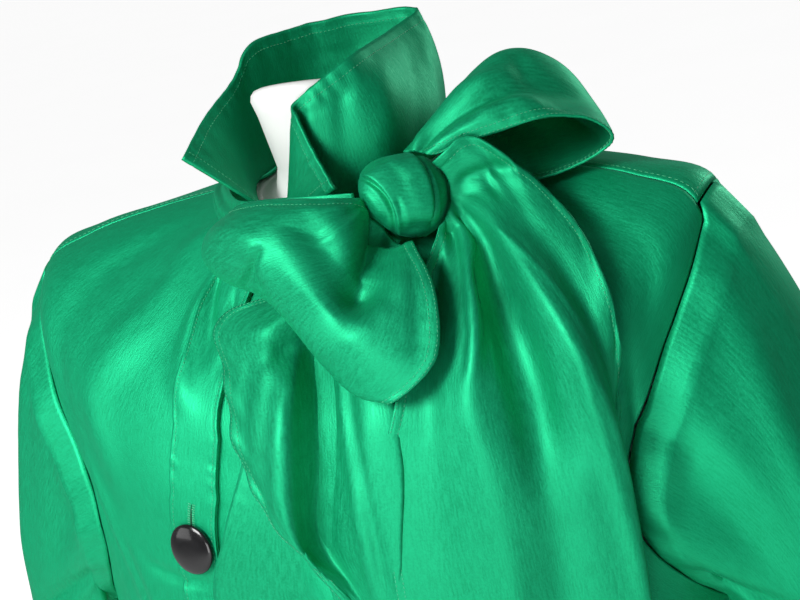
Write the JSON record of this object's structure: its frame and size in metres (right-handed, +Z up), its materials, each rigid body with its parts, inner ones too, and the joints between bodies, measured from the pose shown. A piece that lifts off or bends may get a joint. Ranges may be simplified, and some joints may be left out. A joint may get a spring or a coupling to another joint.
{
  "type": "oversized satin shirt on a limbless display torso",
  "caption": "Oversized satin shirt with a standing, turned-out collar, long cuffed sleeves, a button front and a big scarf bow tied off centre, worn by a limbless display torso on a round base.",
  "frame": {"origin": "centre of the stand's base, on the surface that it stands on", "axes": "+Z up; -Y towards the front, where the shirt buttons; +X towards the wearer's left, where the bow is tied"},
  "size_m": [0.7374, 0.3304, 0.9902],
  "materials": {
    "satin": "emerald green satin, soft sheen",
    "buttons": "black, polished and domed",
    "torso": "white, smooth and matt",
    "stand": "brushed"
  },
  "bodies": {
    "root": {"front_right": "satin", "front_left": "satin", "placket": "satin", "back": "satin", "yoke": "satin", "sleeve_left": "satin", "sleeve_right": "satin", "cuff_left": "satin", "cuff_right": "satin", "collar": "satin", "scarf_neck_band": "satin", "scarf_knot": "satin", "loop_left_shoulder": "satin", "loop_front": "satin", "tail_left_side": "satin", "tail_front": "satin", "button_1": "buttons", "button_2": "buttons", "button_3": "buttons", "button_4": "buttons", "button_5": "buttons", "cuff_button_left": "buttons", "cuff_button_right": "buttons", "display_torso": "torso", "stand_base": "stand", "stand_pole": "stand"}
  },
  "joints": []
}
